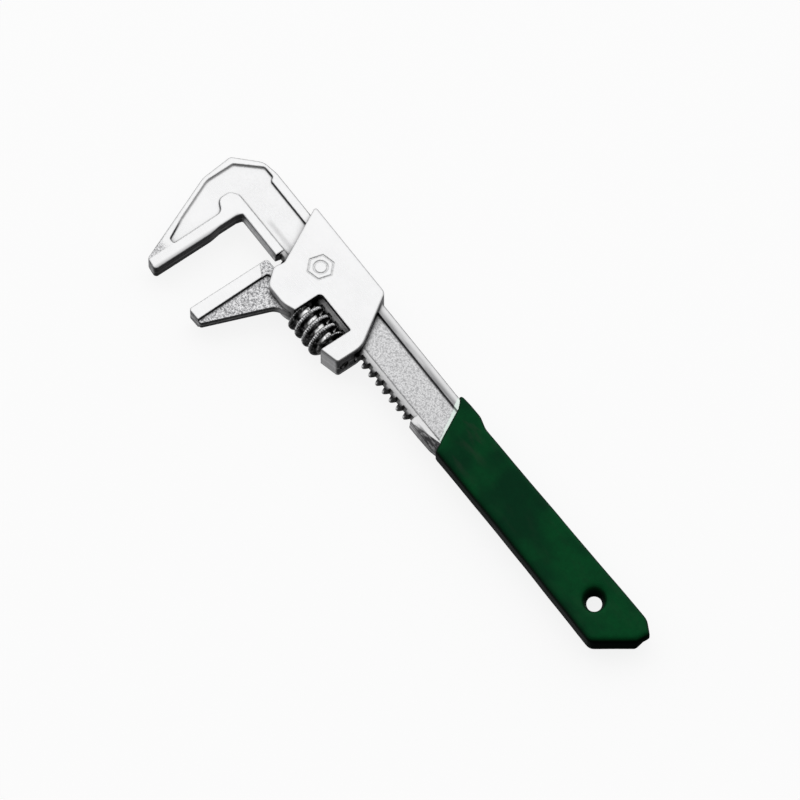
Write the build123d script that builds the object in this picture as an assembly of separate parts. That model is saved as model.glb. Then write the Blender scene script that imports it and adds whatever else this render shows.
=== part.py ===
from build123d import *
import math
import os

# A worm-adjusted wrench lying on its side: a steel bar whose end is the fixed jaw, a sliding jaw
# that a worm drives along a rack on the bar's edge, and a plastic-dipped grip.
#
# Frame, in millimetres: the origin is the centre of the fixed jaw's gripping face. +X runs along the
# bar towards the grip, the jaws reach towards -Y, and +Z is up through the flat of the wrench.
# Outlines are given as (along, reach) in the plan: "along" is X, and "reach" is how far a point lies
# from the rack edge of the bar towards the jaw tips, so the bar itself has a negative reach.

# ---------------------------------------------------------------- driving dimensions
OVERALL_LENGTH = 350.0   # back of the fixed jaw to the end of the grip
HEAD_DEPTH = 31.1        # back of the fixed jaw to its gripping face
JAW_REACH = 54.5         # rack edge of the bar to the tip of the sliding jaw
TIP_OVERHANG = 1.2       # how much further the fixed jaw reaches
HEEL_RELIEF = 0.9        # hollow in the fixed jaw's gripping face, next to the bar
BAR_WIDTH = 28.5
BAR_THICKNESS = 9.0      # the fixed jaw and the sliding jaw have this thickness too
PANEL_DEPTH = 1.5        # sunk panel in each side of the bar
JAW_WEB_DEPTH = 1.8      # sunk web in each side of the sliding jaw
JAW_OPENING = 28.3       # gap between the jaws as modelled

PITCH = 6.0              # rack and worm
RACK_GAPS = 20
FIRST_GAP = 31.2         # centre of the first rack gap, along the bar
RACK_DEPTH = 3.1         # of the gaps, below the edge of the bar
TOOTH_RISE = 0.7         # how far the teeth stand out of that edge
TOOTH_ROUNDING = 8.0     # the rack is cut into a rounded edge, which starts this far behind the tips
RACK_LEAD = 2.0          # the rounded edge before the first gap's centre
RACK_TAIL = 2.0          # and after the last one's
ROOT_PLAY = 0.4          # how much wider a rack gap is than the worm's crest, on each side

FORGED_DROP = 0.25       # as-forged skin next to a ground rim lies this much lower
RIM_EASING = 0.3         # rounding where a rim meets its sunk panel
JAW_RIM = 7.3            # width of the fixed jaw's ground rim, from its gripping face
TIP_SLOPE_START = 39.2   # reach at which the jaw behind that rim slopes down to the forged skin
TIP_SLOPE_END = 56.7
TIP_DROP = 0.35          # how far down it is there
RUN_OUT_START = 148.0    # the inner rim slopes away from here to the grip

CARRIAGE_THICKNESS = 16.0
CARRIAGE_WALL = 3.8      # outer wall, behind the bar
SLIDE_PLAY = 0.15        # carriage to bar, on each side
WINDOW_START = 62.1      # worm window, along the bar
WINDOW_END = 88.8
WINDOW_BITE = 5.2        # how far the window opens over the rack

WORM_AXIS_REACH = 7.2
WORM_CREST_R = 9.9
WORM_CORE_R = 6.5
WORM_HUB_R = 5.2         # plain ends of the worm, which bear on the walls of its window
WORM_END_PLAY = 0.2
THREAD_START = 63.9      # the thread, along the bar
THREAD_END = 86.1
CREST_WIDTH = 2.1
FLANK = 15.0             # thread flank angle, degrees
PIN_R = 2.25
PIN_THREAD_R = 2.8
PIN_PLAY = 0.06
SPRING_WIRE_R = 0.45
SPRING_COIL_R = 3.3
SPRING_TURNS = 4
SPRING_POCKET_R = 4.2
SPRING_POCKET_DEPTH = 7.0

GRIP_THICKNESS = 12.6
HANG_HOLE_ALONG = 286.3
HANG_HOLE_REACH = -16.4
HANG_HOLE_R = 4.5
HANG_THROAT = 1.6        # straight wall in the middle of the hang hole
CORE_HOLE_R = 7.5        # hole in the steel, which the plastic lines

# ---------------------------------------------------------------- values worked out from them
RACK_Y = JAW_REACH / 2
WORM_Y = RACK_Y - WORM_AXIS_REACH
HALF_BAR = BAR_THICKNESS / 2
HALF_CARRIAGE = CARRIAGE_THICKNESS / 2
HALF_GRIP = GRIP_THICKNESS / 2
GRIP_END = OVERALL_LENGTH - HEAD_DEPTH
WORM_START = WINDOW_START + WORM_END_PLAY
WORM_END = WINDOW_END - WORM_END_PLAY
LAST_GAP = FIRST_GAP + (RACK_GAPS - 1) * PITCH
THREAD_SLOPE = math.tan(math.radians(FLANK))
# The rack gaps lean with the worm's thread where the two mesh.
LEAD_ANGLE = math.degrees(math.atan(PITCH / (2 * math.pi * (WORM_CREST_R - RACK_DEPTH / 2))))
FAR = 60.0               # beyond the edge of whatever is cut
UPWARD = (Align.CENTER, Align.CENTER, Align.MIN)


def at(along, reach):
    """The plan point that lies this far along the bar and this far out towards the jaw tips."""
    return (along, RACK_Y - reach)


def outline(corners):
    """A plan face from (along, reach, corner radius) rows."""
    points = [at(along, reach) for along, reach, radius in corners]
    radii = [radius for along, reach, radius in corners]
    return make_face(FilletPolyline(*points, radius=radii, close=True))


def plate(face, half_thickness):
    """A plan face made into a plate that straddles the mid-plane."""
    return extrude(face, half_thickness, both=True)


def block(along, reach, z):
    """A box between two (low, high) pairs on each of the three directions."""
    size = (along[1] - along[0], reach[1] - reach[0], z[1] - z[0])
    x, y = at(sum(along) / 2, sum(reach) / 2)
    return Pos(x, y, sum(z) / 2) * Box(*size)


def on_worm_axis(along):
    """A place on the worm's axis, with its local +Z along the axis and its local +X towards the rack."""
    return Plane(origin=(along, WORM_Y, 0), x_dir=(0, 1, 0), z_dir=(1, 0, 0)).location


def rod(start, end, radius):
    """A cylinder on the worm's axis, between two distances along the bar."""
    return on_worm_axis(start) * Cylinder(radius, end - start, align=UPWARD)


def edges_at(part, z):
    """The edges of a plate that lie in the plane at +z or -z."""
    level = [e for e in part.edges() if e.bounding_box().size.Z < 1e-4]
    return [e for e in level if abs(abs(e.center().Z) - z) < 1e-4]


def both_sides(cutter):
    """A cutter at the top and its mirror image at the bottom."""
    return cutter + mirror(cutter, about=Plane.XY)


def sink_panels(body, face, depth, foot=0.7):
    """Sinks the same panel into both sides of a bar-thick plate, and rounds the foot and rim of its walls."""
    floor_z = HALF_BAR - depth
    cutter = Pos(0, 0, floor_z) * extrude(face, depth)
    cutter = fillet([e for e in cutter.edges() if e.bounding_box().max.Z < floor_z + 1e-4], foot)
    body -= both_sides(cutter)
    boundary = face.face().outer_wire()
    rim = [e for e in edges_at(body, HALF_BAR)
           if boundary.distance_to(Vertex(e.center().X, e.center().Y, 0)) < 1e-3]
    return fillet(rim, RIM_EASING)


# ---------------------------------------------------------------- bar
def rack_gap(along):
    """The cutter for one gap between rack teeth: slanting flanks, and eased corners at the tips."""
    root = CREST_WIDTH / 2 + ROOT_PLAY
    easing = 0.3
    shoulder = TOOTH_RISE - easing
    tip = root + (RACK_DEPTH + shoulder) * THREAD_SLOPE
    beyond = TOOTH_RISE + easing
    profile = Polyline(
        at(-root, -RACK_DEPTH), at(root, -RACK_DEPTH),
        at(tip, shoulder), at(tip + easing, TOOTH_RISE), at(tip + easing, beyond),
        at(-tip - easing, beyond), at(-tip - easing, TOOTH_RISE), at(-tip, shoulder),
        close=True,
    )
    cutter = extrude(make_face(profile), BAR_THICKNESS, both=True)
    return Pos(along, 0, 0) * Rot(0, LEAD_ANGLE, 0) * cutter


def forged_tip():
    """The cutter for the tip of the fixed jaw behind its ground rim, which slopes down to the forged skin."""
    start = RACK_Y - TIP_SLOPE_START
    end = RACK_Y - TIP_SLOPE_END
    slope = Plane.YZ * make_face(Polyline(
        (start, HALF_BAR), (end, HALF_BAR - TIP_DROP), (end, HALF_BAR + 1), (start, HALF_BAR + 1),
        close=True,
    ))
    return Pos(-JAW_RIM, 0, 0) * extrude(slope, -FAR)


def make_rack(body):
    """The bar with its rack: a rounded ridge along the edge, and the gaps between the teeth."""
    along = (FIRST_GAP - RACK_LEAD, LAST_GAP + RACK_TAIL)
    inner = TOOTH_RISE - TOOTH_ROUNDING
    ridge = block(along, (-1.0, TOOTH_RISE), (-HALF_BAR, HALF_BAR))
    square = block(along, (inner, FAR), (-FAR, FAR))
    x, y = at(along[0], inner)
    oval = Pos(x, y, 0) * extrude(Plane.YZ * Ellipse(TOOTH_ROUNDING, HALF_BAR), along[1] - along[0])
    body = body + ridge - (square - oval)
    for gap in range(RACK_GAPS):
        body -= rack_gap(FIRST_GAP + gap * PITCH)
    return body


def rim_run_out():
    """The cutter that slopes the inner rim away between the last rack tooth and the grip."""
    drop_along, drop_across = 0.116, 0.42
    x, y = at(RUN_OUT_START, 0)
    slope = Plane(origin=(x, y, HALF_BAR), z_dir=(drop_along, -drop_across, 1))
    over = slope * Pos(0, 0, FAR / 2) * Box(FAR * 2, FAR * 2, FAR)
    tooth_end = LAST_GAP + 4.6
    under_grip = 180.0
    return over & block((tooth_end, under_grip), (-8.0, 8.0), (0, FAR))


def make_bar():
    """Fixed jaw, shank with sunk panels and a rack, and the flat core inside the grip."""
    body = plate(outline([
        (0, 0, 1.0),
        (-HEEL_RELIEF, 3.5, 3),
        (-HEEL_RELIEF, 14.0, 12),
        (0, 20.0, 20),
        (0, JAW_REACH + TIP_OVERHANG, 2.0),
        (-8.0, JAW_REACH + TIP_OVERHANG - 1.0, 3.0),
        (-29.4, 4.2, 12),
        (-HEAD_DEPTH, -14.4, 3),
        (-18.4, -26.8, 8),
        (-9.0, -BAR_WIDTH, 12),
        (166.0, -BAR_WIDTH, 6),
        (173.0, -27.3, 8),
        (309.0, -30.2, 6),
        (GRIP_END - 2.4, -26.4, 3),
        (GRIP_END - 2.8, -20.6, 3),
        (GRIP_END - 15.6, -2.6, 5),
        (226.0, -2.7, 60),
        (176.0, -2.5, 8),
        (165.0, 0, 8),
    ]), HALF_BAR)
    body = fillet(edges_at(body, HALF_BAR), 0.8)
    body -= both_sides(forged_tip())
    panel = outline([
        (-10.6, 38.6, 1.2),
        (-16.9, 26.6, 6),
        (-26.9, 3.6, 8),
        (-26.9, -13.2, 2.5),
        (-15.6, -25.4, 2.5),
        (-8.6, -25.6, 1.6),
        (-7.0, -23.4, 1.6),
        (170.0, -23.4, 1.6),
        (176.0, -5.9, 1.6),
        (-10.2, -5.3, 3),
        (-14.6, -2.4, 4),
        (-14.6, 4.6, 4),
        (-7.6, 8.0, 4),
        (-7.2, 38.6, 1.0),
    ])
    body = sink_panels(body, panel, PANEL_DEPTH)
    body -= both_sides(rim_run_out())
    body = make_rack(body)
    x, y = at(HANG_HOLE_ALONG, HANG_HOLE_REACH)
    return body - Pos(x, y, 0) * Cylinder(CORE_HOLE_R, BAR_THICKNESS * 2)


# ---------------------------------------------------------------- sliding jaw
def make_jaw_plate():
    """The jaw itself: a gripping rim, with a thinner web behind it."""
    jaw_back = JAW_OPENING + 7.6
    shape = plate(outline([
        (JAW_OPENING, 4.6, 2.0),
        (JAW_OPENING, JAW_REACH, 1.6),
        (jaw_back + 2.1, JAW_REACH - 0.4, 1.8),
        (52.6, 17.2, 7),
        (60.0, 13.0, 0),
        (60.0, 4.6, 0),
    ]), HALF_BAR)
    shape = fillet([e for e in edges_at(shape, HALF_BAR) if e.center().X < 53], 0.35)
    web = outline([
        (jaw_back + 0.2, JAW_REACH + 2, 0),
        (jaw_back - 0.5, 9.8, 1.5),
        (42.0, 6.6, 0),
        (62.0, 6.6, 0),
        (62.0, JAW_REACH + 2, 0),
    ])
    shape = sink_panels(shape, web, JAW_WEB_DEPTH, foot=0.6)
    forged_root = Pos(0, 0, HALF_BAR - FORGED_DROP) * extrude(outline([
        (JAW_OPENING - 2, 0, 0),
        (JAW_OPENING - 2, 8.0, 0),
        (jaw_back, 13.4, 0),
        (60.0, 13.4, 0),
        (60.0, 0, 0),
    ]), 2)
    return shape - both_sides(forged_root)


def make_carriage():
    """The sleeve that wraps the bar, as a solid plate with rounded rims."""
    outer = -BAR_WIDTH - CARRIAGE_WALL
    shape = plate(outline([
        (19.6, outer, 1.2),
        (36.5, -0.4, 3.0),
        (35.4, 5.6, 4.0),
        (42.8, 14.5, 6.0),
        (56.0, 14.4, 14),
        (WINDOW_START, 11.9, 0),
        (WINDOW_END, 14.2, 0),
        (99.9, 11.4, 2.0),
        (99.9, -4.0, 14),
        (81.3, outer, 4.5),
    ]), HALF_CARRIAGE)
    return fillet(edges_at(shape, HALF_CARRIAGE), 0.9)


def make_emblem():
    """A plain nut sign, engraved in the carriage's face: a hexagon around a circle."""
    x, y = at(50.0, -13.8)
    line_width = 0.9
    hexagon = RegularPolygon(7.6, 6) - RegularPolygon(7.6 - line_width, 6)
    ring = Circle(4.0) - Circle(4.0 - line_width)
    return Pos(x, y, HALF_CARRIAGE) * Rot(0, 0, 15) * extrude(hexagon + ring, 0.3, both=True)


def make_sliding_jaw():
    """Jaw and carriage in one piece, with the bar's channel, the worm window and the pin's holes."""
    body = make_jaw_plate() + make_carriage()
    channel_half = HALF_BAR + SLIDE_PLAY
    inner = TOOTH_RISE + SLIDE_PLAY
    body -= block((0, FAR * 2), (-BAR_WIDTH - SLIDE_PLAY, inner), (-channel_half, channel_half))
    body -= plate(outline([
        (WINDOW_START, -WINDOW_BITE, 2.5),
        (WINDOW_START, FAR, 0),
        (WINDOW_END, FAR, 0),
        (WINDOW_END, -WINDOW_BITE, 0.8),
    ]), FAR)
    body -= rod(WINDOW_START - 5.5, WINDOW_START + 1, PIN_R + PIN_PLAY)
    body -= rod(WINDOW_END - 1, WINDOW_END + FAR, PIN_THREAD_R + PIN_PLAY)
    return body - make_emblem()


# ---------------------------------------------------------------- worm and what holds it
def make_worm():
    """A right-hand thread round a core, bored for its pin and pocketed for the spring."""
    length = WORM_END - WORM_START
    first_ridge = FIRST_GAP + 4 * PITCH - WORM_START
    turns = 7
    foot = WORM_CORE_R - 0.3
    foot_width = CREST_WIDTH / 2 + (WORM_CREST_R - foot) * THREAD_SLOPE
    ridge = Plane.XZ * make_face(Polyline(
        (foot, first_ridge - foot_width), (WORM_CREST_R, first_ridge - CREST_WIDTH / 2),
        (WORM_CREST_R, first_ridge + CREST_WIDTH / 2), (foot, first_ridge + foot_width),
        close=True,
    ))
    path = Pos(0, 0, first_ridge) * Helix(PITCH, turns * PITCH, WORM_CREST_R)
    thread = sweep(ridge, path=path, is_frenet=True)
    lift = Pos(0, 0, THREAD_START - WORM_START)
    threaded = THREAD_END - THREAD_START
    worm = Cylinder(WORM_HUB_R, length, align=UPWARD)
    worm += lift * Cylinder(WORM_CORE_R, threaded, align=UPWARD)
    worm += thread & (lift * Cylinder(WORM_CREST_R + 1, threaded, align=UPWARD))
    worm -= Cylinder(PIN_R + PIN_PLAY, length, align=UPWARD)
    worm -= Pos(0, 0, length - SPRING_POCKET_DEPTH) * Cylinder(SPRING_POCKET_R, FAR, align=UPWARD)
    return on_worm_axis(WORM_START) * worm


def make_worm_pin():
    """The worm's axle: a plain shank, and a larger threaded end with a screwdriver slot."""
    end = 99.3
    slot_width, slot_depth = 1.1, 1.6
    pin = rod(WINDOW_START - 5.3, WINDOW_END + 0.4, PIN_R) + rod(WINDOW_END + 0.4, end, PIN_THREAD_R)
    x, y = at(end, WORM_AXIS_REACH)
    return pin - Pos(x, y, 0) * Rot(35, 0, 0) * Box(2 * slot_depth, 2 * PIN_THREAD_R + 1, slot_width)


def make_worm_spring():
    """A coil round the pin, between the worm's pocket and the leg of the carriage."""
    start = WORM_END - SPRING_POCKET_DEPTH + SPRING_WIRE_R + 0.03
    height = WINDOW_END - 0.03 - SPRING_WIRE_R - start
    path = Helix(height / SPRING_TURNS, height, SPRING_COIL_R)
    wire = Plane(origin=path @ 0, z_dir=path % 0) * Circle(SPRING_WIRE_R)
    coil = sweep(wire, path=path, is_frenet=True)
    return on_worm_axis(start) * coil


# ---------------------------------------------------------------- grip
def make_grip(bar):
    """The plastic coat over the end of the bar, cut off along a slant and pierced for hanging."""
    shape = plate(outline([
        (150.8, -30.9, 1.2),
        (167.0, -31.2, 8),
        (174.0, -29.2, 12),
        (310.8, -32.2, 8),
        (GRIP_END, -28.1, 1.6),
        (GRIP_END - 0.6, -20.2, 3),
        (304.0, -0.2, 5),
        (226.0, -0.7, 60),
        (169.6, -0.2, 0.8),
    ]), HALF_GRIP)
    shape = fillet(edges_at(shape, HALF_GRIP), 3.2)
    x, y = at(HANG_HOLE_ALONG, HANG_HOLE_REACH)
    hole = Pos(x, y, 0) * Cylinder(HANG_HOLE_R, GRIP_THICKNESS * 2)
    shape -= hole
    round_edges = [e for e in edges_at(shape, HALF_GRIP) if e.geom_type == GeomType.CIRCLE]
    lip = [e for e in round_edges if e.radius == HANG_HOLE_R]
    shape = fillet(lip, (GRIP_THICKNESS - HANG_THROAT) / 2)
    return shape - bar


def main():
    os.makedirs("parts", exist_ok=True)
    bar = make_bar()
    nodes = {
        "bar": bar,
        "sliding_jaw": make_sliding_jaw(),
        "worm": make_worm(),
        "worm_pin": make_worm_pin(),
        "worm_spring": make_worm_spring(),
        "grip": make_grip(bar),
    }
    for name, node in nodes.items():
        print(name, node.is_valid, round(node.volume), len(node.solids()))
        export_step(node, f"parts/{name}.step")


main()
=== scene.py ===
import bmesh
import bpy
import math
import numpy as np
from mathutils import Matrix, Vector, noise


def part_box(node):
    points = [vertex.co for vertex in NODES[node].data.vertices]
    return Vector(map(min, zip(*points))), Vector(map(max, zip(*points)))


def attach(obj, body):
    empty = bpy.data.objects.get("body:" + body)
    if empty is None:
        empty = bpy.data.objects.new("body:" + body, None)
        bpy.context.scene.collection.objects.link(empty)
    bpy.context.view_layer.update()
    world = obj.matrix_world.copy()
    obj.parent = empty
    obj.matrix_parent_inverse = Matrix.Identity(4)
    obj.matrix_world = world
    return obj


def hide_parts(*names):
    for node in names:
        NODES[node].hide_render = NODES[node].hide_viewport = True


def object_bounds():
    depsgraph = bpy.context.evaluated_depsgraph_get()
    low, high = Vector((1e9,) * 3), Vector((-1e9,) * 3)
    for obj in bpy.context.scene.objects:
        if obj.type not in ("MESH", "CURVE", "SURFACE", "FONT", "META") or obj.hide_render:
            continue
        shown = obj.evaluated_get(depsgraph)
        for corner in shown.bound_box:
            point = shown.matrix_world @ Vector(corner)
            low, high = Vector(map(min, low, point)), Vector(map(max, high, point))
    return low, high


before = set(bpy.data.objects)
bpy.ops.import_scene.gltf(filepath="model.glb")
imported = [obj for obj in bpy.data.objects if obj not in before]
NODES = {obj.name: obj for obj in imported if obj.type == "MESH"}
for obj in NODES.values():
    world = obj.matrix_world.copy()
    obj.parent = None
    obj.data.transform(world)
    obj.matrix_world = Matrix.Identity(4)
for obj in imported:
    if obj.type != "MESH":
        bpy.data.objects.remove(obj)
CAD_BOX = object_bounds()
MM = 0.001

# ---------------------------------------------------------------- view and light, in metres and degrees
AZIMUTH = 54.16
ELEVATION = 63.27
AIM = Vector((0.1330, 0.0316, 0.0))      # the point of the wrench in the middle of the picture
VIEW_WIDTH = 0.412                       # what the picture spans at that point
LENS = 1000.0
SENSOR = 36.0
FAR_CLIP = 100.0
TURN = math.radians(AZIMUTH)
NEAR_SIDE = Vector((math.sin(TURN), -math.cos(TURN), 0.0))   # in the plan, towards the camera
ACROSS = Vector((math.cos(TURN), math.sin(TURN), 0.0))       # in the plan, to the right in the picture

SKY_NEAR = 0.14                          # brightness of the studio on the camera's side
SKY_FAR = 0.82                           # and beyond the wrench
DARK_SIDE = Vector((0.95, -0.31, 0.0))   # in the plan, towards the dark part of the floor
FLOOR_NEAR = 0.06                        # brightness of that part, as steel mirrors it
FLOOR_FAR = 0.70                         # and of the other
ROOM_STEP = (-0.40, 0.35)                # cosines between which the studio goes from one to the other
FLOOR_GAP = 0.2 * MM                     # between the wrench and the floor
HALF_FLOOR = 6.0
FLOOR_GREY = 0.22
FLOOR_GLOW = 0.86
KEY_PLACE = Vector((-0.5, 0.36, 1.0))
KEY_TARGET = Vector((0.05, 0.02, 0.0))
KEY_SIZE = 0.9
KEY_WATTS = 0.45

# ---------------------------------------------------------------- the wrench, in metres
HALF_BAR = 4.5 * MM
WORM_CENTRE = Vector((0.07545, 0.02005, 0.0))
WORM_CREST = 9.9 * MM                    # radius of the thread's crest
WORM_HUB = 5.2 * MM                      # radius of the worm's plain ends
THREAD_START = 63.9 * MM
THREAD_END = 86.1 * MM
WORM_PITCH = 6.0 * MM
WORM_RIDGE = 79.2 * MM                   # where a ridge meets the rack, along the bar
PIN_BORE = 2.31 * MM
SPRING_BORE = 4.2 * MM
SPRING_DEPTH = 7.0 * MM
HOLE = Vector((0.2863, 0.04365, 0.0))
HOLE_R = 4.5 * MM
STEEL_HOLE_R = 7.5 * MM
LIP_START = Vector((0.1508, 0.05815))    # where the slanted mouth of the grip meets the outer edge
LIP_INWARD = Vector((0.846, 0.532))      # across that slant, into the grip
END_CORNER = Vector((0.3189, 0.0545))    # outer corner of the grip's end

# ---------------------------------------------------------------- where the looks change, in metres
# Each pair is where a soft step starts and where it ends. Along the bar:
JAW_BACK = (-16.5 * MM, -12.5 * MM)      # before it, the walls of the fixed jaw's panel take less painted shade
HEEL = (-3.0 * MM, -0.4 * MM)            # the fixed jaw's gripping face, next to the bar
SMUDGE_START = (8 * MM, 14 * MM)
SMUDGE_END = (30 * MM, 36 * MM)
# Where painted shade on the outer rim grows, towards the grip:
RIM_SHADE = (20 * MM, 120 * MM)
# Where painted shade on the shank grows, towards the grip:
SHANK_SHADE = (20 * MM, 155 * MM)
SHANK_GRAIN = (30 * MM, 100 * MM)
RACK_START = (26.5 * MM, 27.5 * MM)
RACK_END = (147.0 * MM, 148.0 * MM)
RUN_OUT = (146.5 * MM, 158.0 * MM)       # the slope from the end of the rack to the grip
GRIP_DUST = (165 * MM, 200 * MM)
# Across the bar, from the jaw tips outwards:
TIP_SLOPE = (-18 * MM, -6 * MM)
NEAR_BAR = (0.0, 8 * MM)
HEEL_EDGE = (25 * MM, 27 * MM)
TOOTH_CREST = (26.9 * MM, 27.6 * MM)
GAP_MOUTH = (27.4 * MM, 28.4 * MM)
RUN_OUT_EDGE = (29.6 * MM, 31.2 * MM)
GAP_FLOOR = (30.3 * MM, 30.6 * MM)
FILM_INNER_END = (32.0 * MM, 33.5 * MM)
PANEL_EDGE = (32.2 * MM, 33.0 * MM)      # the rim beside the rack ends, and the sunk panel starts
SLOPE_EDGE = (32.5 * MM, 33.0 * MM)
SMUDGE_MIDDLE = 36.5 * MM
SMUDGE_HALF_WIDTH = 2.4 * MM
OUTER_RIM = 50.3 * MM                    # the bar's outer rim starts
RIM_EDGE = (OUTER_RIM - 1.2 * MM, OUTER_RIM - 0.1 * MM)
RIM_FADE = (OUTER_RIM + 1.0 * MM, OUTER_RIM + 4.0 * MM)
# Above or below the mid-plane:
MID_SEAM = (0.2 * MM, 0.9 * MM)
JAW_WEB = (3.2 * MM, 3.6 * MM)
PANEL_FOOT = (HALF_BAR - 0.50 * MM, HALF_BAR - 0.30 * MM)
JAW_SKIN = (HALF_BAR - 0.20 * MM, HALF_BAR - 0.08 * MM)
BAR_SKIN = (HALF_BAR - 0.12 * MM, HALF_BAR - 0.03 * MM)
BELOW_RIM = (HALF_BAR - 0.10 * MM, HALF_BAR - 0.04 * MM)
CARRIAGE_WALL = (HALF_BAR + 0.20 * MM, HALF_BAR + 0.80 * MM)
# Cosines of the surface's tilt, which are 1 where it is level:
STEEP = (0.55, 0.90)
STEEP_AT_FOOT = (0.80, 0.985)
LEVEL = (0.975, 0.995)
WEB_LEVEL = (0.90, 0.98)
GRIP_SIDE = (0.35, 0.99)
# Distances from the worm's axis, over which oil gives way to bright steel:
WORM_BRIGHT = (WORM_CREST - 1.2 * MM, WORM_CREST - 0.3 * MM)
PIN_BRIGHT = (2.3 * MM, 2.7 * MM)
SPRING_BRIGHT = (3.3 * MM, 3.7 * MM)

BAR_SIDE_LIGHT = 0.2                     # how much lighter a wall that faces the jaw tips is painted, as if lit
JAW_SIDE_LIGHT = 0.75

JAW_TIP_SIDE = (0, -1, 0)
UP = (0, 0, 1)
RIM_STREAKS = (0.15, 1.0, 1.0)           # noise with a smaller scale along the bar makes streaks that way
BRUSH_MARKS = (0.12, 1.0, 1.0)
SCRATCHES = (0.40, 1.0, 1.0)
GRIP_STREAKS = (0.5, 1.6, 1.0)


def grey(value, blue=0.0):
    """A neutral colour, with this much more blue in it."""
    return (value, value, value + blue, 1)


GROUND_DULL = grey(0.90, 0.005)
GROUND_BRIGHT = grey(0.97, 0.005)
FORGED_PIT = grey(0.30, 0.01)
FORGED_BRIGHT = grey(0.97, 0.01)
FORGED_SPECK = grey(0.16, 0.01)
# Walls are painted dark, partly for their duller forged skin and partly as shade; WALL_LIT is painted light
# on walls that face the jaw tips.
WALL_DARK = grey(0.12, 0.01)
WALL_LIGHT = grey(0.36, 0.01)
WALL_LIT = grey(0.95, 0.01)
SEAM_BRIGHT = grey(0.95)
# Painted shade along edges.
EDGE_SHADE = grey(0.16, 0.005)
# Dull wear, and painted shade.
DULL_AND_SHADED = grey(0.11, 0.005)
# Painted shade in crevices.
SHADE_IN_CREVICES = grey(0.012)
# Painted shadow between the rack's teeth.
GAP_SHADE = grey(0.008)
GREEN_FILM = (0.84, 0.97, 0.89, 1)
OIL = grey(0.05)
THIN_OIL = grey(0.45)
# A painted highlight where the worm faces up.
HIGHLIGHT_GREY = grey(0.98)
CREST_DULL = grey(0.40, 0.01)
CREST_BRIGHT = grey(0.95, 0.01)
# Dark specks, and painted shade in the worm's crevices.
WORM_SPECKS_AND_SHADE = grey(0.01)
VINYL_DARK = (0.0030, 0.052, 0.019, 1)
VINYL_LIGHT = (0.0040, 0.098, 0.027, 1)
VINYL_GRIME = (0.004, 0.030, 0.014, 1)
VINYL_DUST = (0.045, 0.063, 0.047, 1)
# Painted shade down the grip's sides.
VINYL_SIDE_SHADE = (0.0015, 0.005, 0.003, 1)


COLOUR_SOCKETS = (6, 7, 2)               # the Mix node's numbers for its two inputs and its output
VECTOR_SOCKETS = (4, 5, 1)


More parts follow.
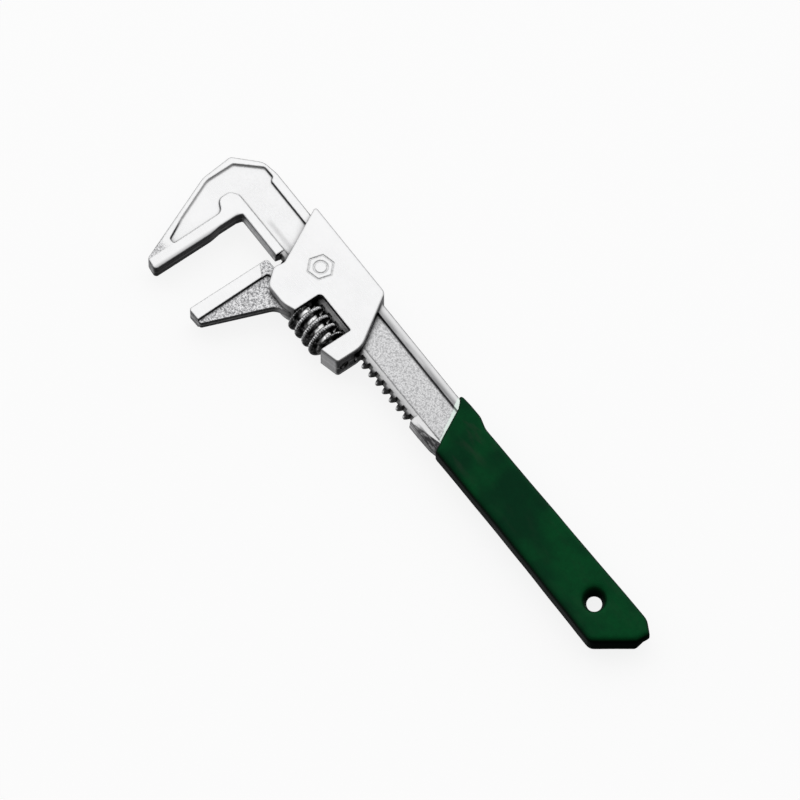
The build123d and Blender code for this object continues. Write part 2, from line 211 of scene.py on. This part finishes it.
class Look:
    """One procedural material, built a node at a time. A share is a number from 0 to 1."""

    def __init__(self, name):
        self.material = bpy.data.materials.new(name)
        self.material.use_nodes = True
        self.tree = self.material.node_tree
        self.surface = self.tree.nodes["Principled BSDF"]

    def feed(self, socket, value):
        """A number, a colour or another node's output goes into a socket."""
        if isinstance(value, bpy.types.NodeSocket):
            self.tree.links.new(value, socket)
        else:
            socket.default_value = value

    def node(self, kind, inputs=(), **settings):
        """A new node with these inputs fed and these settings made."""
        made = self.tree.nodes.new(kind)
        for key, value in settings.items():
            setattr(made, key, value)
        for key, value in dict(inputs).items():
            self.feed(made.inputs[key], value)
        return made

    def set(self, **inputs):
        """Sets inputs of the surface; underscores stand for the spaces in their names."""
        for key, value in inputs.items():
            self.feed(self.surface.inputs[key.replace("_", " ")], value)

    def math(self, operation, a, b=0.0, c=0.0):
        return self.node("ShaderNodeMath", {0: a, 1: b, 2: c}, operation=operation).outputs[0]

    def joined(self, operation, values):
        """Several numbers joined by one operation, from the first to the last."""
        result = values[0]
        for value in values[1:]:
            result = self.math(operation, result, value)
        return result

    def product(self, *values):
        return self.joined("MULTIPLY", values)

    def total(self, *values):
        return self.joined("ADD", values)

    def greatest(self, *values):
        return self.joined("MAXIMUM", values)

    def dot(self, a, b):
        return self.node("ShaderNodeVectorMath", {0: a, 1: b}, operation="DOT_PRODUCT").outputs["Value"]

    def ramp(self, value, low, high, to_low, to_high):
        """A smooth step from to_low to to_high as value goes from low to high."""
        inputs = {"Value": value, "From Min": low, "From Max": high, "To Min": to_low, "To Max": to_high}
        return self.node("ShaderNodeMapRange", inputs, interpolation_type="SMOOTHSTEP").outputs[0]

    def rises(self, value, step, top=1.0, foot=0.0):
        """From foot up to top, as value crosses the step from its start to its end."""
        return self.ramp(value, step[0], step[1], foot, top)

    def falls(self, value, step, top=1.0, foot=0.0):
        """From top down to foot, as value crosses the step from its start to its end."""
        return self.ramp(value, step[0], step[1], top, foot)

    def mix(self, kind, sockets, share, a, b):
        """What is a where share is 0, and b where it is 1. The sockets are those of a, b and the result."""
        made = self.node("ShaderNodeMix", {0: share, sockets[0]: a, sockets[1]: b}, data_type=kind)
        return made.outputs[sockets[2]]

    def blend(self, share, a, b):
        """Colour a where share is 0, and colour b where it is 1."""
        return self.mix("RGBA", COLOUR_SOCKETS, share, a, b)

    def place(self):
        """Where a point is in the shared frame, with every joint at rest."""
        return self.node("ShaderNodeTexCoord").outputs["Object"]

    def axis(self, vector, name):
        return self.node("ShaderNodeSeparateXYZ", {0: vector}).outputs[name]

    def along(self):
        """Where a point is along the bar."""
        return self.axis(self.place(), "X")

    def across(self):
        """Where a point is across the bar, from the jaw tips outwards."""
        return self.axis(self.place(), "Y")

    def height(self):
        """How far a point is above or below the mid-plane."""
        return self.math("ABSOLUTE", self.axis(self.place(), "Z"))

    def noise(self, size, detail, roughness, stretch=(1, 1, 1)):
        """Noise whose lumps are about this many metres across."""
        scaled = self.node("ShaderNodeMapping", {"Vector": self.place(), "Scale": stretch}).outputs[0]
        inputs = {"Vector": scaled, "Scale": 1 / size, "Detail": detail, "Roughness": roughness}
        return self.node("ShaderNodeTexNoise", inputs).outputs["Fac"]

    def facing(self, side):
        """How squarely the surface faces a direction, from -1 to 1."""
        return self.dot(self.node("ShaderNodeNewGeometry").outputs["True Normal"], side)

    def tilt(self):
        """How level the surface is: 1 on a face seen in plan, and 0 on an upright wall."""
        return self.math("ABSOLUTE", self.facing(UP))

    def crevice(self, reach, low, high):
        """1 in a crevice narrower than about this reach, and 0 in the open."""
        shade = self.node("ShaderNodeAmbientOcclusion", {"Distance": reach}, samples=8)
        return self.falls(shade.outputs["AO"], (low, high))

    def edge(self, radius):
        """1 along edges, to about this far from them."""
        rounded = self.node("ShaderNodeBevel", {"Radius": radius}, samples=4).outputs[0]
        flat = self.node("ShaderNodeNewGeometry").outputs["Normal"]
        return self.rises(self.dot(rounded, flat), (0.999, 0.96))

    def ray(self):
        """The direction in which a ray arrives."""
        back = self.node("ShaderNodeNewGeometry").outputs["Incoming"]
        return self.node("ShaderNodeVectorMath", {0: back, "Scale": -1.0}, operation="SCALE").outputs[0]

    def room(self, side, near, far):
        """What a ray meets in the studio: near if it travels towards this side, far if away from it."""
        return self.falls(self.dot(self.ray(), side), ROOM_STEP, far, near)

    def levelled(self, share):
        """The surface's normal, turned by this share towards upright."""
        normal = self.node("ShaderNodeNewGeometry").outputs["Normal"]
        outward = self.math("SIGN", self.axis(self.place(), "Z"))
        upright = self.node("ShaderNodeCombineXYZ", {"Z": outward}).outputs[0]
        return self.mix("VECTOR", VECTOR_SOCKETS, share, normal, upright)

    def bump(self, height, distance, strength, normal=None):
        inputs = {"Height": height, "Distance": distance, "Strength": strength}
        if normal is not None:
            inputs["Normal"] = normal
        return self.node("ShaderNodeBump", inputs).outputs[0]


# ---------------------------------------------------------------- plated steel
def wall_share(look):
    """1 on walls, with the rounded foot of a panel's wall, but without the eased rim of a ground face."""
    tilt = look.tilt()
    foot = look.product(look.falls(look.height(), PANEL_FOOT), look.falls(tilt, STEEP_AT_FOOT))
    return look.greatest(foot, look.falls(tilt, STEEP))


def face_colour(look, coarse, cloud, pits, peel):
    """Ground faces are bright and nearly even; forged ones are pitted and specked."""
    ground = look.blend(look.rises(cloud, (0.3, 0.7)), GROUND_DULL, GROUND_BRIGHT)
    forged = look.blend(look.rises(pits, (0.34, 0.56)), FORGED_PIT, FORGED_BRIGHT)
    forged = look.blend(look.falls(peel, (0.40, 0.50), 0.6), forged, FORGED_SPECK)
    return look.blend(coarse, ground, forged)


def wall_colour(look, cloud, pits, side_light):
    """Walls are painted dark, partly for their duller forged skin and partly as shade, and lighter where
    they face the jaw tips, as if lit; a broken bright seam runs along the mid-plane.
    """
    wall = look.blend(look.rises(pits, (0.35, 0.65)), WALL_DARK, WALL_LIGHT)
    lit = look.rises(look.facing(JAW_TIP_SIDE), (0.5, 0.95), side_light)
    # Painted light on walls near the bar that face the jaw tips.
    wall = look.blend(look.product(lit, look.rises(look.across(), NEAR_BAR)), wall, WALL_LIT)
    broken = look.rises(cloud, (0.35, 0.6), 0.9, 0.1)
    seam = look.product(look.falls(look.height(), MID_SEAM), broken)
    return look.blend(seam, wall, SEAM_BRIGHT)


def crevice_shade(look, shadow):
    """Painted shade in crevices, found by ambient occlusion: less on a level face than on the rounded edge
    of the rack.
    """
    tilt = look.tilt()
    low = look.falls(tilt, LEVEL, 0.52, 0.36)
    high = look.falls(tilt, LEVEL, 1.00, 0.84)
    return look.product(look.crevice(8 * MM, low, high), shadow, 0.97)


def plate_roughness(look, coarse, cloud, wall):
    """Forged skin and walls are rougher than ground faces, which have faint brush marks."""
    brush = look.noise(0.6 * MM, 2.0, 0.5, BRUSH_MARKS)
    return look.total(
        look.rises(coarse, (0.0, 1.0), 0.36, 0.27),
        look.rises(cloud, (0.2, 0.8), 0.04, -0.03),
        look.product(wall, 0.10),
        look.rises(brush, (0.3, 0.7), 0.03),
    )


def forged_steel(name, grain, depth, wear_and_shade, gap_shade, side_light):
    """Plated steel. grain, depth, stain and grease take a look and return shares.

    grain says where the skin is as forged and where it is ground smooth; depth, how much painted shade its
    walls, crevices and edges take; wear_and_shade, where it is dulled by wear and by painted shade;
    gap_shade, where its walls are painted black as shadow. side_light is how much lighter a wall near the
    bar that faces the jaw tips is painted, as if lit.
    """
    look = Look(name)
    coarse = grain(look)
    shadow = depth(look)
    wall = wall_share(look)
    cloud = look.noise(18 * MM, 3.0, 0.6)
    pits = look.noise(1.1 * MM, 2.0, 0.6)
    peel = look.noise(0.6 * MM, 1.0, 0.5)

    face = face_colour(look, coarse, cloud, pits, peel)
    # Walls take the wall colour, with its painted shade, as far as the depth allows.
    colour = look.blend(look.product(wall, shadow), face, wall_colour(look, cloud, pits, side_light))
    # Painted shade in crevices.
    colour = look.blend(crevice_shade(look, shadow), colour, SHADE_IN_CREVICES)
    # Painted shade along edges.
    shaded_edges = look.product(look.edge(0.9 * MM), look.falls(pits, (0.35, 0.6), 0.95, 0.5), shadow)
    colour = look.blend(shaded_edges, colour, EDGE_SHADE)
    # Dull wear, and painted shade.
    colour = look.blend(wear_and_shade(look), colour, DULL_AND_SHADED)
    # Painted shadow on the walls between the rack's teeth.
    colour = look.blend(look.product(gap_shade(look), wall), colour, GAP_SHADE)
    colour = look.blend(film(look), colour, GREEN_FILM)

    strength = look.math("MULTIPLY_ADD", coarse, 0.8, 0.03)
    soft = look.product(wall, look.math("SUBTRACT", 1.0, shadow))
    normal = look.bump(pits, 0.14 * MM, strength, look.levelled(soft))
    normal = look.bump(peel, 0.06 * MM, strength, normal)
    rough = plate_roughness(look, coarse, cloud, wall)
    look.set(Metallic=1.0, Base_Color=colour, Roughness=rough, Normal=normal)
    return look.material


def on_rack(look):
    """1 along the rack, and 0 beyond its ends."""
    along = look.along()
    return look.product(look.rises(along, RACK_START), look.falls(along, RACK_END))


def bar_grain(look):
    """Sunk panels and the tip's slope are as forged, more coarsely on the shank than on the jaw."""
    sunk = look.falls(look.height(), BAR_SKIN)
    shank = look.rises(look.along(), SHANK_GRAIN, 0.60, 0.06)
    shank = look.product(shank, look.rises(look.across(), PANEL_EDGE))
    tip = look.falls(look.across(), TIP_SLOPE, 0.8)
    return look.product(sunk, look.greatest(shank, tip))


def bar_shade_depth(look):
    """How much painted shade the bar takes: less on the walls round the fixed jaw's panel, and on the crests
    of the rack's teeth.
    """
    panel_wall = look.rises(look.facing(NEAR_SIDE), (0.0, 0.2), 0.7)
    jaw_wall = look.product(panel_wall, look.falls(look.along(), JAW_BACK))
    crest = look.product(look.falls(look.across(), TOOTH_CREST, 0.8), on_rack(look))
    return look.math("SUBTRACT", 1.0, look.greatest(jaw_wall, crest))


def rim_wear_and_shade(look):
    """The outer rim is painted darker as shade, most at its inner edge and more and more towards the grip,
    broken into streaks of wear.
    """
    across = look.across()
    streak = look.noise(4 * MM, 3.0, 0.6, RIM_STREAKS)
    return look.product(
        look.rises(across, RIM_EDGE),
        look.falls(across, RIM_FADE, 1.0, 0.25),
        look.rises(look.along(), RIM_SHADE, 0.85),
        look.rises(streak, (0.3, 0.6), 1.0, 0.55),
    )


def run_out_wear(look):
    """The slope beyond the rack is scratched dark towards the grip."""
    across = look.across()
    slope = look.product(look.falls(look.height(), BELOW_RIM), look.falls(across, SLOPE_EDGE))
    scratches = look.noise(1.6 * MM, 3.0, 0.7, SCRATCHES)
    return look.product(
        look.greatest(slope, look.falls(across, RUN_OUT_EDGE, 0.9)),
        look.rises(look.along(), RUN_OUT),
        look.rises(scratches, (0.36, 0.54), 1.0, 0.30),
    )


def smudge(look):
    """A faint, soft mark along the bar, between the head and the carriage."""
    off_middle = look.math("ABSOLUTE", look.math("SUBTRACT", look.across(), SMUDGE_MIDDLE))
    return look.product(
        look.rises(look.along(), SMUDGE_START),
        look.falls(look.along(), SMUDGE_END),
        look.falls(off_middle, (0.0, SMUDGE_HALF_WIDTH), 0.5),
        look.noise(0.5 * MM, 2.0, 0.7),
    )


def bar_wear_and_shade(look):
    """Wear and painted shade on the rim, scratches on the run-out, painted shade on the heel, the smudge,
    and painted shade that darkens the shank towards the grip.
    """
    # Painted shade darkening the shank towards the grip.
    shank = look.rises(look.along(), SHANK_SHADE, 0.17)
    # Painted shade on the heel, next to the bar.
    heel = look.product(look.rises(look.along(), HEEL, 0.55), look.falls(look.across(), HEEL_EDGE))
    return look.greatest(rim_wear_and_shade(look), shank, heel, run_out_wear(look), smudge(look))


def bar_gap_shade(look):
    """Painted shadow on the walls between the rack's teeth."""
    across = look.across()
    return look.product(look.rises(across, GAP_MOUTH), look.falls(across, GAP_FLOOR, 0.95), on_rack(look))


def jaw_grain(look):
    """The web and the root are as forged; the rims and the carriage are ground."""
    return look.falls(look.height(), JAW_SKIN)


def jaw_shade_depth(look):
    """How much painted shade the jaw takes: less on the carriage's walls over the bar, and on the floor of
    the web.
    """
    height = look.height()
    web = look.product(look.falls(height, JAW_WEB, 0.65), look.rises(look.tilt(), WEB_LEVEL))
    return look.math("SUBTRACT", look.falls(height, CARRIAGE_WALL, 1.0, 0.80), web)


def nowhere(look):
    return 0.0


def film(look):
    """A thin film of the plastic that has crept out of the grip's mouth onto the steel."""
    along = look.math("SUBTRACT", look.along(), LIP_START.x)
    across = look.math("SUBTRACT", look.across(), LIP_START.y)
    depth = look.math("MULTIPLY_ADD", across, LIP_INWARD.y, look.product(along, LIP_INWARD.x))
    ragged = look.math("MULTIPLY_ADD", look.noise(3 * MM, 2.0, 0.5), 1.2 * MM, depth)
    share = look.rises(ragged, (-0.7 * MM, -0.2 * MM), 0.8)
    return look.product(share, look.rises(look.across(), FILM_INNER_END))


# ---------------------------------------------------------------- oiled steel, and plastic
def distance_from_worm_axis(look):
    inputs = {0: look.place(), 1: WORM_CENTRE}
    offset = look.node("ShaderNodeVectorMath", inputs, operation="SUBTRACT").outputs[0]
    across = look.axis(offset, "Y")
    up = look.axis(offset, "Z")
    return look.math("SQRT", look.total(look.product(across, across), look.product(up, up)))


def turned_steel(name, bright):
    """Oiled steel that is bright past this step in the distance from the worm's axis, like a crest."""
    look = Look(name)
    crest = look.rises(distance_from_worm_axis(look), bright)
    cloud = look.noise(3 * MM, 3.0, 0.6)
    fine = look.noise(0.8 * MM, 2.0, 0.6)
    # Thick oil stands in the groove; where the surface faces up, a painted highlight stands in for the
    # light's reflection.
    highlight_share = look.rises(look.facing(UP), (0.80, 0.96))
    highlight_share = look.product(highlight_share, look.rises(cloud, (0.36, 0.5), 1.0, 0.35))
    oily = look.blend(look.rises(cloud, (0.42, 0.58)), OIL, THIN_OIL)
    worn = look.blend(look.rises(fine, (0.35, 0.6)), CREST_DULL, CREST_BRIGHT)
    colour = look.blend(crest, look.blend(highlight_share, oily, HIGHLIGHT_GREY), worn)

    specks = look.falls(look.noise(1.8 * MM, 3.0, 0.7), (0.42, 0.54), 0.85)
    specks = look.product(specks, look.math("MULTIPLY_ADD", highlight_share, -0.9, 1.0))
    # Painted shade in the worm's crevices, with dark specks.
    groove_shade = look.product(look.crevice(2 * MM, 0.05, 0.4), 0.9)
    colour = look.blend(look.greatest(groove_shade, specks), colour, WORM_SPECKS_AND_SHADE)

    rough = look.rises(crest, (0.0, 1.0), 0.22, 0.13)
    rough = look.total(rough, look.rises(cloud, (0.2, 0.8), 0.05, -0.03))
    look.set(Metallic=1.0, Base_Color=colour, Roughness=rough, Normal=look.bump(fine, 0.05 * MM, 0.4))
    return look.material


def vinyl():
    """Matt green plastic, painted with shade down its sides, and a little dusty near the steel."""
    look = Look("dipped_vinyl")
    cloud = look.noise(30 * MM, 2.0, 0.5)
    streak = look.noise(10 * MM, 3.0, 0.6, GRIP_STREAKS)
    colour = look.blend(look.rises(cloud, (0.35, 0.65)), VINYL_DARK, VINYL_LIGHT)
    grime = look.rises(look.noise(2.5 * MM, 3.0, 0.6), (0.3, 0.7), 0.22)
    colour = look.blend(grime, colour, VINYL_GRIME)
    near_steel = look.falls(look.along(), GRIP_DUST, 0.55, 0.10)
    colour = look.blend(look.product(look.rises(streak, (0.48, 0.72)), near_steel), colour, VINYL_DUST)
    # Painted shade on the steep sides.
    colour = look.blend(look.falls(look.tilt(), GRIP_SIDE, 0.96), colour, VINYL_SIDE_SHADE)
    rough = look.rises(cloud, (0.2, 0.8), 0.6, 0.45)
    relief = look.bump(look.noise(1.4 * MM, 2.0, 0.5), 0.03 * MM, 0.25)
    look.set(Base_Color=colour, Roughness=rough, Specular_IOR_Level=0.03, Normal=relief)
    return look.material


# ---------------------------------------------------------------- making meshes
def clamped(value):
    return max(0.0, min(1.0, value))


def add_object(name, data):
    made = bpy.data.objects.new(name, data)
    bpy.context.scene.collection.objects.link(made)
    return made


def smoothed(mesh):
    for polygon in mesh.polygons:
        polygon.use_smooth = True
    return mesh


def paint(node, material):
    """A CAD node keeps its mesh, and takes a material."""
    mesh = NODES[node].data
    mesh.materials.clear()
    mesh.materials.append(material)


def stand_in(made, material, body, node):
    """An object made here is painted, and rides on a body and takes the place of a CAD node."""
    made.data.materials.append(material)
    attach(made, body)
    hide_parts(node)


# ---------------------------------------------------------------- worm
RIDGE_PROFILE = (                        # (across the ridge, radius) in millimetres, from the ridge's middle
    (0.00, 9.90), (0.45, 9.88), (0.75, 9.75), (0.95, 9.45), (1.15, 8.80), (1.38, 8.00),
    (1.62, 7.20), (1.80, 6.80), (2.05, 6.54), (2.50, 6.50),
)
KNURL_START = 8.9                        # radius at which the notches start, in millimetres
KNURL_RISE = 0.7                         # and how much further out they have their full depth
KNURL_COUNT = 44                         # notches in the crest, per turn
KNURL_DEPTH = 0.38 * MM
KNURL_SHARPNESS = 3                      # the higher, the narrower the notches are beside the lands
WORM_COLUMNS = KNURL_COUNT * 8
BORE_SIDES = 48
CUT_DISTANCE = 0.0001 * MM               # a vertex this close to a cut counts as on it
SAME_PLACE = 0.001 * MM


def thread_row(across, radius):
    """One row of the thread as (offset along the worm, radius, share of the knurl)."""
    share = (radius - KNURL_START) / KNURL_RISE
    return (across * MM, radius * MM, clamped(share))


def worm_rows():
    """The rows of one ridge, in order along the worm."""
    before = [thread_row(-across, radius) for across, radius in reversed(RIDGE_PROFILE)]
    after = [thread_row(across, radius) for across, radius in RIDGE_PROFILE[1:]]
    return before + after


def notch_depth(angle):
    """How deep the crest is notched at this angle."""
    wave = 0.5 + 0.5 * math.cos(angle * KNURL_COUNT)
    return KNURL_DEPTH * wave ** KNURL_SHARPNESS


def around_worm(x, radius, angle):
    return (x, WORM_CENTRE.y + radius * math.cos(angle), radius * math.sin(angle))


def thread_columns(grid, low, high):
    """Vertices along the worm for each angle round it, with spare turns beyond both ends."""
    rows = worm_rows()
    turns = range(-1, int((high - low) / WORM_PITCH) + 3)
    first = WORM_RIDGE - WORM_PITCH * math.ceil((WORM_RIDGE - low) / WORM_PITCH)
    columns = []
    for column in range(WORM_COLUMNS):
        angle = 2 * math.pi * column / WORM_COLUMNS
        notch = notch_depth(angle)
        ring = []
        for turn in turns:
            middle = first + (turn + column / WORM_COLUMNS) * WORM_PITCH
            for offset, radius, share in rows:
                ring.append(grid.verts.new(around_worm(middle + offset, radius - notch * share, angle)))
        columns.append(ring)
    # After a full turn the thread has moved on by one pitch, which is one set of rows.
    columns.append(columns[0][len(rows):])
    return columns


def make_worm(low, high):
    """The thread as a grid that follows the helix, cut square at both ends and bored for its pin."""
    grid = bmesh.new()
    columns = thread_columns(grid, low.x, high.x)
    for left, right in zip(columns, columns[1:]):
        for row in range(len(right) - 1):
            grid.faces.new((left[row], right[row], right[row + 1], left[row + 1]))
    close_worm_ends(grid, low.x, high.x)
    bmesh.ops.recalc_face_normals(grid, faces=grid.faces)
    mesh = bpy.data.meshes.new("worm_thread")
    grid.to_mesh(mesh)
    grid.free()
    return add_object("worm_thread", smoothed(mesh))


def add_ring(grid, x, radius):
    """A ring of vertices round the worm's axis."""
    angles = [2 * math.pi * k / BORE_SIDES for k in range(BORE_SIDES)]
    return [grid.verts.new(around_worm(x, radius, angle)) for angle in angles]


def lies_at(edge, x):
    """Whether all of an edge is at this place along the bar."""
    return all(abs(vertex.co.x - x) < SAME_PLACE for vertex in edge.verts)


def close_worm_ends(grid, low, high):
    """Cuts the thread off square, and joins its ends to the plain hubs and the bore inside."""
    thread_ends = ((THREAD_START, -1), (THREAD_END, 1))
    for x, side in thread_ends:
        cut = {"plane_co": (x, 0, 0), "plane_no": (side, 0, 0), "clear_outer": True, "dist": CUT_DISTANCE}
        bmesh.ops.bisect_plane(grid, geom=grid.verts[:] + grid.edges[:] + grid.faces[:], **cut)
    pocket = high - SPRING_DEPTH
    profile = (
        (THREAD_START, WORM_HUB), (low, WORM_HUB), (low, PIN_BORE), (pocket, PIN_BORE),
        (pocket, SPRING_BORE), (high, SPRING_BORE), (high, WORM_HUB), (THREAD_END, WORM_HUB),
    )
    rings = [add_ring(grid, x, radius) for x, radius in profile]
    for near, far in zip(rings, rings[1:]):
        for k in range(BORE_SIDES):
            grid.faces.new((near[k - 1], far[k - 1], far[k], near[k]))
    for x, side in thread_ends:
        rim = [edge for edge in grid.edges if edge.is_boundary and lies_at(edge, x)]
        bmesh.ops.triangle_fill(grid, use_beauty=True, edges=rim, normal=(side, 0, 0))


# ---------------------------------------------------------------- grip
GRIP_VOXEL = 0.6 * MM
GRIP_SMOOTHING = 7
WAVES_ALONG = 45                         # waves in the coat's thickness, per metre
WAVES_ACROSS = 70
WAVE_LAYER = 1.7                         # which slice of the noise gives them
WAVE_HEIGHT = 0.022                      # as a share of the thickness
BEAD_HEIGHT = 0.035                      # of the bead along the mouth, likewise
BEAD_DEPTH = 1.6 * MM                    # from the mouth to the bead's middle
BEAD_WIDTH = 1.3 * MM
EDGE_WAVES = 38                          # waves in the coat's long edges, per metre
EDGE_SHIFT = 0.2 * MM
EDGE_LAYER = 0.2
OUTER_TRACK = 0.4                        # the lines in that slice which the two edges follow
INNER_TRACK = 5.1
MID_GRIP = 40 * MM                       # across: the outer edge is beyond it, and the inner one is not
MOUTH_REACH = 8 * MM                     # how deep into the grip its mouth is drawn
MOUTH_PLACES = (0.0, 9.3 * MM, 30 * MM)  # along the mouth, from the outer edge
MOUTH_SHIFTS = (-1.4 * MM, 1.1 * MM, 0.0)    # how far the mouth is drawn inwards there
CORNER_REACH = 8 * MM                    # the end's outer corner is thinned and drawn in on the lower side
CORNER_PULL = 1.2 * MM
CORNER_THINNING = 0.75
HOLE_THINNING = 0.5
HOLE_LONGER = 0.07
HOLE_NARROWER = 0.10


def swell(point):
    """How much thicker than its mould the coat is at a point: slow waves, and a bead along the mouth."""
    waves = noise.noise(Vector((point.x * WAVES_ALONG, point.y * WAVES_ACROSS, WAVE_LAYER)))
    depth = (point.xy - LIP_START).dot(LIP_INWARD)
    bead = math.exp(-((depth - BEAD_DEPTH) / BEAD_WIDTH) ** 2)
    return 1 + WAVE_HEIGHT * waves + BEAD_HEIGHT * bead


def edge_shift(point):
    """How far a long edge of the coat wanders at a point; the two edges wander apart."""
    track = OUTER_TRACK if point.y > MID_GRIP else INNER_TRACK
    return EDGE_SHIFT * noise.noise(Vector((point.x * EDGE_WAVES, track, EDGE_LAYER)))


def open_hole(moved):
    """Thins the coat round the hang hole, where it only lines the steel, and draws the hole out a little."""
    offset = moved - HOLE
    offset.z = 0
    lining = clamped((STEEL_HOLE_R - offset.length) / (STEEL_HOLE_R - HOLE_R))
    moved.z *= 1 - HOLE_THINNING * lining ** 2
    reach = clamped((2 * STEEL_HOLE_R - offset.length) / (2 * STEEL_HOLE_R - HOLE_R))
    moved += NEAR_SIDE * offset.dot(NEAR_SIDE) * HOLE_LONGER * reach
    moved -= ACROSS * offset.dot(ACROSS) * HOLE_NARROWER * reach


def draw_mouth(point, moved):
    """The mouth runs further up the outer rim than up the panel beside it."""
    offset = point.xy - LIP_START
    depth = offset.dot(LIP_INWARD)
    along_mouth = offset.x * LIP_INWARD.y - offset.y * LIP_INWARD.x
    drawn = float(np.interp(along_mouth, MOUTH_PLACES, MOUTH_SHIFTS))
    moved.xy += LIP_INWARD * drawn * clamped(1 - max(0.0, depth) / MOUTH_REACH)


def soften(point):
    """A grip vertex moved from its moulded place to where a dipped coat would have it."""
    moved = point.copy()
    draw_mouth(point, moved)
    moved.z *= swell(point)
    moved.y += edge_shift(point)
    if point.z < 0:
        pulled = clamped(1 - (point.xy - END_CORNER).length / CORNER_REACH)
        moved.z *= 1 - CORNER_THINNING * pulled
        moved.x -= CORNER_PULL * pulled
    open_hole(moved)
    return moved


def make_grip():
    """The dipped coat: the moulded shape remeshed, smoothed and made slightly uneven."""
    made = add_object("grip_vinyl", NODES["grip"].data.copy())
    remesh = made.modifiers.new("remesh", "REMESH")
    remesh.mode = "VOXEL"
    remesh.voxel_size = GRIP_VOXEL
    smooth = made.modifiers.new("smooth", "SMOOTH")
    smooth.factor = 0.5
    smooth.iterations = GRIP_SMOOTHING
    graph = bpy.context.evaluated_depsgraph_get()
    soft = bpy.data.meshes.new_from_object(made.evaluated_get(graph))
    made.modifiers.clear()
    for vertex in soft.vertices:
        vertex.co = soften(vertex.co)
    soft.materials.clear()
    made.data = smoothed(soft)
    return made


# ---------------------------------------------------------------- studio
class Studio(Look):
    """The light all round, built a node at a time like a material."""

    def __init__(self):
        world = bpy.data.worlds.new("studio")
        world.use_nodes = True
        self.tree = world.node_tree
        self.surface = self.tree.nodes["Background"]
        bpy.context.scene.world = world

    def ray(self):
        return self.node("ShaderNodeTexCoord").outputs["Generated"]


def make_floor(low):
    """A pale floor to look at, which the wrench itself sees as part of the studio."""
    look = Look("floor")
    look.set(Base_Color=grey(FLOOR_GREY), Roughness=0.9, Specular_IOR_Level=0.0)
    look.set(Emission_Color=grey(1.0), Emission_Strength=FLOOR_GLOW)
    mirrored = look.node("ShaderNodeEmission", {"Strength": look.room(DARK_SIDE, FLOOR_NEAR, FLOOR_FAR)})
    seen = look.node("ShaderNodeLightPath").outputs["Is Camera Ray"]
    mixed = look.node("ShaderNodeMixShader", {0: seen, 1: mirrored.outputs[0], 2: look.surface.outputs[0]})
    look.feed(look.tree.nodes["Material Output"].inputs["Surface"], mixed.outputs[0])
    mesh = bpy.data.meshes.new("floor")
    sides = ((-1, -1), (1, -1), (1, 1), (-1, 1))
    corners = [(x * HALF_FLOOR, y * HALF_FLOOR, low.z - FLOOR_GAP) for x, y in sides]
    mesh.from_pydata(corners, [], [(0, 1, 2, 3)])
    mesh.materials.append(look.material)
    add_object("floor", mesh)


def aim(made, direction):
    """Turns a light or a camera to look in this direction."""
    made.rotation_mode = "QUATERNION"
    made.rotation_quaternion = direction.to_track_quat("-Z", "Y")


def make_key_light():
    data = bpy.data.lights.new("key", "AREA")
    data.shape = "DISK"
    data.size = KEY_SIZE
    data.energy = KEY_WATTS
    light = add_object("key", data)
    light.location = KEY_PLACE
    aim(light, KEY_TARGET - KEY_PLACE)


def make_camera():
    raised = math.radians(ELEVATION)
    back = NEAR_SIDE * math.cos(raised)
    back.z = math.sin(raised)
    data = bpy.data.cameras.new("camera")
    data.lens = LENS
    data.sensor_width = SENSOR
    data.clip_end = FAR_CLIP
    camera = add_object("camera", data)
    camera.location = AIM + back * (VIEW_WIDTH * LENS / SENSOR)
    aim(camera, -back)
    bpy.context.scene.camera = camera


paint("bar", forged_steel("forged_steel", bar_grain, bar_shade_depth, bar_wear_and_shade, bar_gap_shade, BAR_SIDE_LIGHT))
paint("sliding_jaw", forged_steel("plated_steel", jaw_grain, jaw_shade_depth, nowhere, nowhere, JAW_SIDE_LIGHT))
worm = make_worm(*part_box("worm"))
stand_in(worm, turned_steel("worm_steel", WORM_BRIGHT), "worm", "worm")
paint("worm_pin", turned_steel("pin_steel", PIN_BRIGHT))
paint("worm_spring", turned_steel("spring_wire", SPRING_BRIGHT))
stand_in(make_grip(), vinyl(), "bar", "grip")
make_floor(CAD_BOX[0])
make_key_light()
studio = Studio()
studio.set(Color=grey(1.0), Strength=studio.room(NEAR_SIDE, SKY_NEAR, SKY_FAR))
make_camera()
bpy.context.scene.view_settings.view_transform = "Standard"
